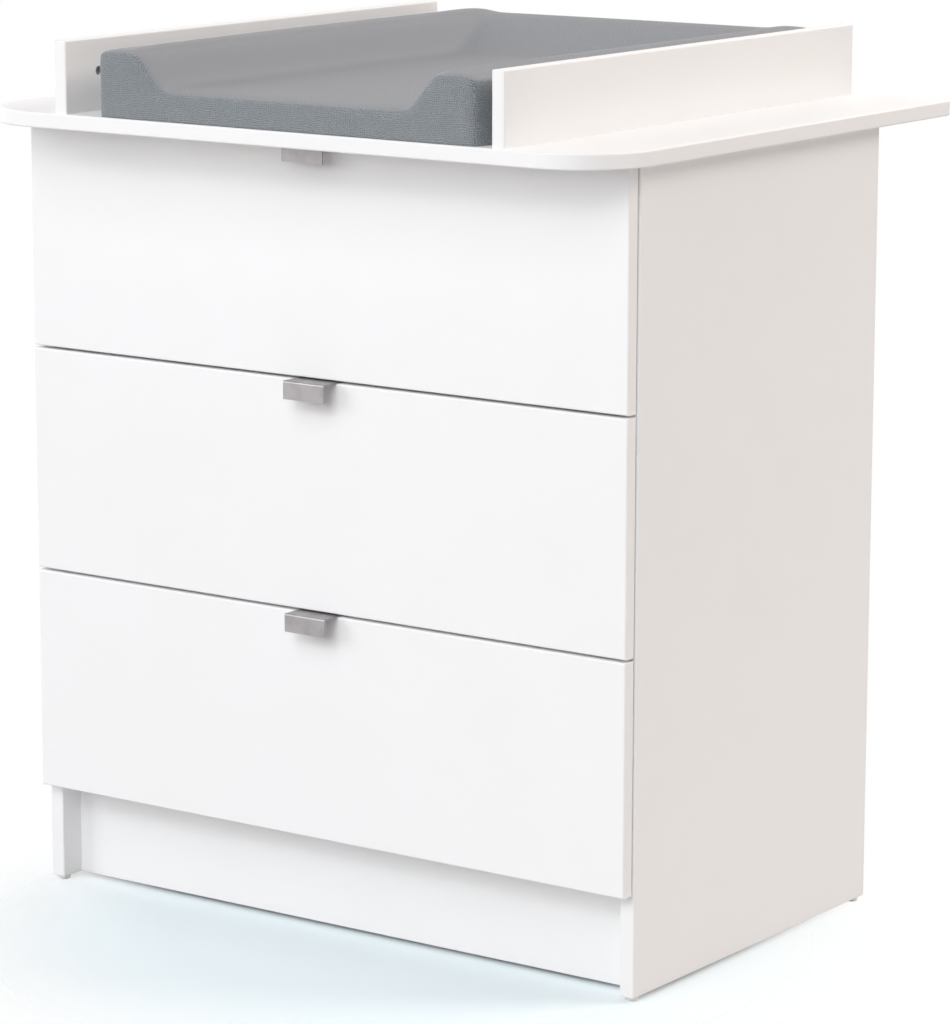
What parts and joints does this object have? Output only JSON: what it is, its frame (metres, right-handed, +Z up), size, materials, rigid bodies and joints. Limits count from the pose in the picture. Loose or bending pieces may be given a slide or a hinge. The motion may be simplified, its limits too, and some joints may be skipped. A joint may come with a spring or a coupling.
{
  "type": "changing table",
  "caption": "Chest of drawers on roller runners with an overhanging changing top, upright guard boards and a padded contoured changing mat.",
  "frame": {"origin": "on the floor, in the middle of the changing top's outline", "axes": "+X to the right seen from the front, +Y to the back, +Z up; the drawers open along -Y"},
  "size_m": [0.84, 0.69, 0.976],
  "materials": {
    "white_board": "white melamine-faced particle board, satin, banded edges",
    "hardboard": "white lacquered hardboard, matt",
    "mat_fabric": "grey woven cover",
    "aluminium": "satin anodised sheet",
    "steel": "zinc-plated",
    "zinc": "die-cast zinc, dull",
    "runner_steel": "white epoxy-coated sheet steel",
    "white_nylon": "moulded nylon",
    "beech": "plain beech"
  },
  "bodies": {
    "carcass": {"side_panel_left": "white_board", "side_panel_right": "white_board", "bottom_panel": "white_board", "top_rail_front": "white_board", "top_rail_back": "white_board", "back_panel": "hardboard", "plinth_board": "white_board", "glides": "white_nylon", "cam_fittings": "zinc", "wood_dowels": "beech", "runner_screws": "steel", "changing_top": "white_board", "top_screws": "steel", "guard_left": "white_board", "guard_right": "white_board", "guard_bolts": "steel", "barrel_nuts": "zinc", "lower_cabinet_runner_left": "runner_steel", "lower_cabinet_runner_right": "runner_steel", "middle_cabinet_runner_left": "runner_steel", "middle_cabinet_runner_right": "runner_steel", "upper_cabinet_runner_left": "runner_steel", "upper_cabinet_runner_right": "runner_steel"},
    "lower_drawer": {"lower_drawer_front": "white_board", "lower_drawer_side_left": "white_board", "lower_drawer_side_right": "white_board", "lower_drawer_back": "white_board", "lower_drawer_bottom": "hardboard", "lower_lip_pull": "aluminium", "lower_drawer_screws": "steel", "lower_drawer_cams": "zinc", "lower_drawer_runner_left": "runner_steel", "lower_drawer_runner_right": "runner_steel"},
    "lower_drawer_roller_pair": {"lower_drawer_rollers": "white_nylon"},
    "lower_cabinet_roller_pair": {"lower_cabinet_rollers": "white_nylon"},
    "middle_drawer": {"middle_drawer_front": "white_board", "middle_drawer_side_left": "white_board", "middle_drawer_side_right": "white_board", "middle_drawer_back": "white_board", "middle_drawer_bottom": "hardboard", "middle_lip_pull": "aluminium", "middle_drawer_screws": "steel", "middle_drawer_cams": "zinc", "middle_drawer_runner_left": "runner_steel", "middle_drawer_runner_right": "runner_steel"},
    "middle_drawer_roller_pair": {"middle_drawer_rollers": "white_nylon"},
    "middle_cabinet_roller_pair": {"middle_cabinet_rollers": "white_nylon"},
    "upper_drawer": {"upper_drawer_front": "white_board", "upper_drawer_side_left": "white_board", "upper_drawer_side_right": "white_board", "upper_drawer_back": "white_board", "upper_drawer_bottom": "hardboard", "upper_lip_pull": "aluminium", "upper_drawer_screws": "steel", "upper_drawer_cams": "zinc", "upper_drawer_runner_left": "runner_steel", "upper_drawer_runner_right": "runner_steel"},
    "upper_drawer_roller_pair": {"upper_drawer_rollers": "white_nylon"},
    "upper_cabinet_roller_pair": {"upper_cabinet_rollers": "white_nylon"},
    "mat": {"changing_mat": "mat_fabric"}
  },
  "joints": [
    {"name": "lower_drawer_slide", "type": "slide", "parent": "carcass", "child": "lower_drawer", "axis": [0, -1, 0], "range_m": [0, 0.33]},
    {"name": "lower_drawer_roller_spin", "type": "hinge", "parent": "lower_drawer", "child": "lower_drawer_roller_pair", "pos_m": [0, 0.181, 0.1508], "axis": [1, 0, 0], "range_deg": [0, 1900]},
    {"name": "lower_cabinet_roller_spin", "type": "hinge", "parent": "carcass", "child": "lower_cabinet_roller_pair", "pos_m": [0, -0.237, 0.153], "axis": [1, 0, 0], "range_deg": [0, 1900]},
    {"name": "middle_drawer_slide", "type": "slide", "parent": "carcass", "child": "middle_drawer", "axis": [0, -1, 0], "range_m": [0, 0.33]},
    {"name": "middle_drawer_roller_spin", "type": "hinge", "parent": "middle_drawer", "child": "middle_drawer_roller_pair", "pos_m": [0, 0.181, 0.4053], "axis": [1, 0, 0], "range_deg": [0, 1900]},
    {"name": "middle_cabinet_roller_spin", "type": "hinge", "parent": "carcass", "child": "middle_cabinet_roller_pair", "pos_m": [0, -0.237, 0.4075], "axis": [1, 0, 0], "range_deg": [0, 1900]},
    {"name": "upper_drawer_slide", "type": "slide", "parent": "carcass", "child": "upper_drawer", "axis": [0, -1, 0], "range_m": [0, 0.33]},
    {"name": "upper_drawer_roller_spin", "type": "hinge", "parent": "upper_drawer", "child": "upper_drawer_roller_pair", "pos_m": [0, 0.181, 0.6598], "axis": [1, 0, 0], "range_deg": [0, 1900]},
    {"name": "upper_cabinet_roller_spin", "type": "hinge", "parent": "carcass", "child": "upper_cabinet_roller_pair", "pos_m": [0, -0.237, 0.662], "axis": [1, 0, 0], "range_deg": [0, 1900]},
    {"name": "mat_lift", "type": "slide", "parent": "carcass", "child": "mat", "axis": [0, 0, 1], "range_m": [0, 0.15]}
  ],
  "couplings": [
    {"joint": "lower_drawer_roller_spin", "follows": "lower_drawer_slide", "rad_per_m": 100},
    {"joint": "lower_cabinet_roller_spin", "follows": "lower_drawer_slide", "rad_per_m": 100},
    {"joint": "middle_drawer_roller_spin", "follows": "middle_drawer_slide", "rad_per_m": 100},
    {"joint": "middle_cabinet_roller_spin", "follows": "middle_drawer_slide", "rad_per_m": 100},
    {"joint": "upper_drawer_roller_spin", "follows": "upper_drawer_slide", "rad_per_m": 100},
    {"joint": "upper_cabinet_roller_spin", "follows": "upper_drawer_slide", "rad_per_m": 100}
  ]
}
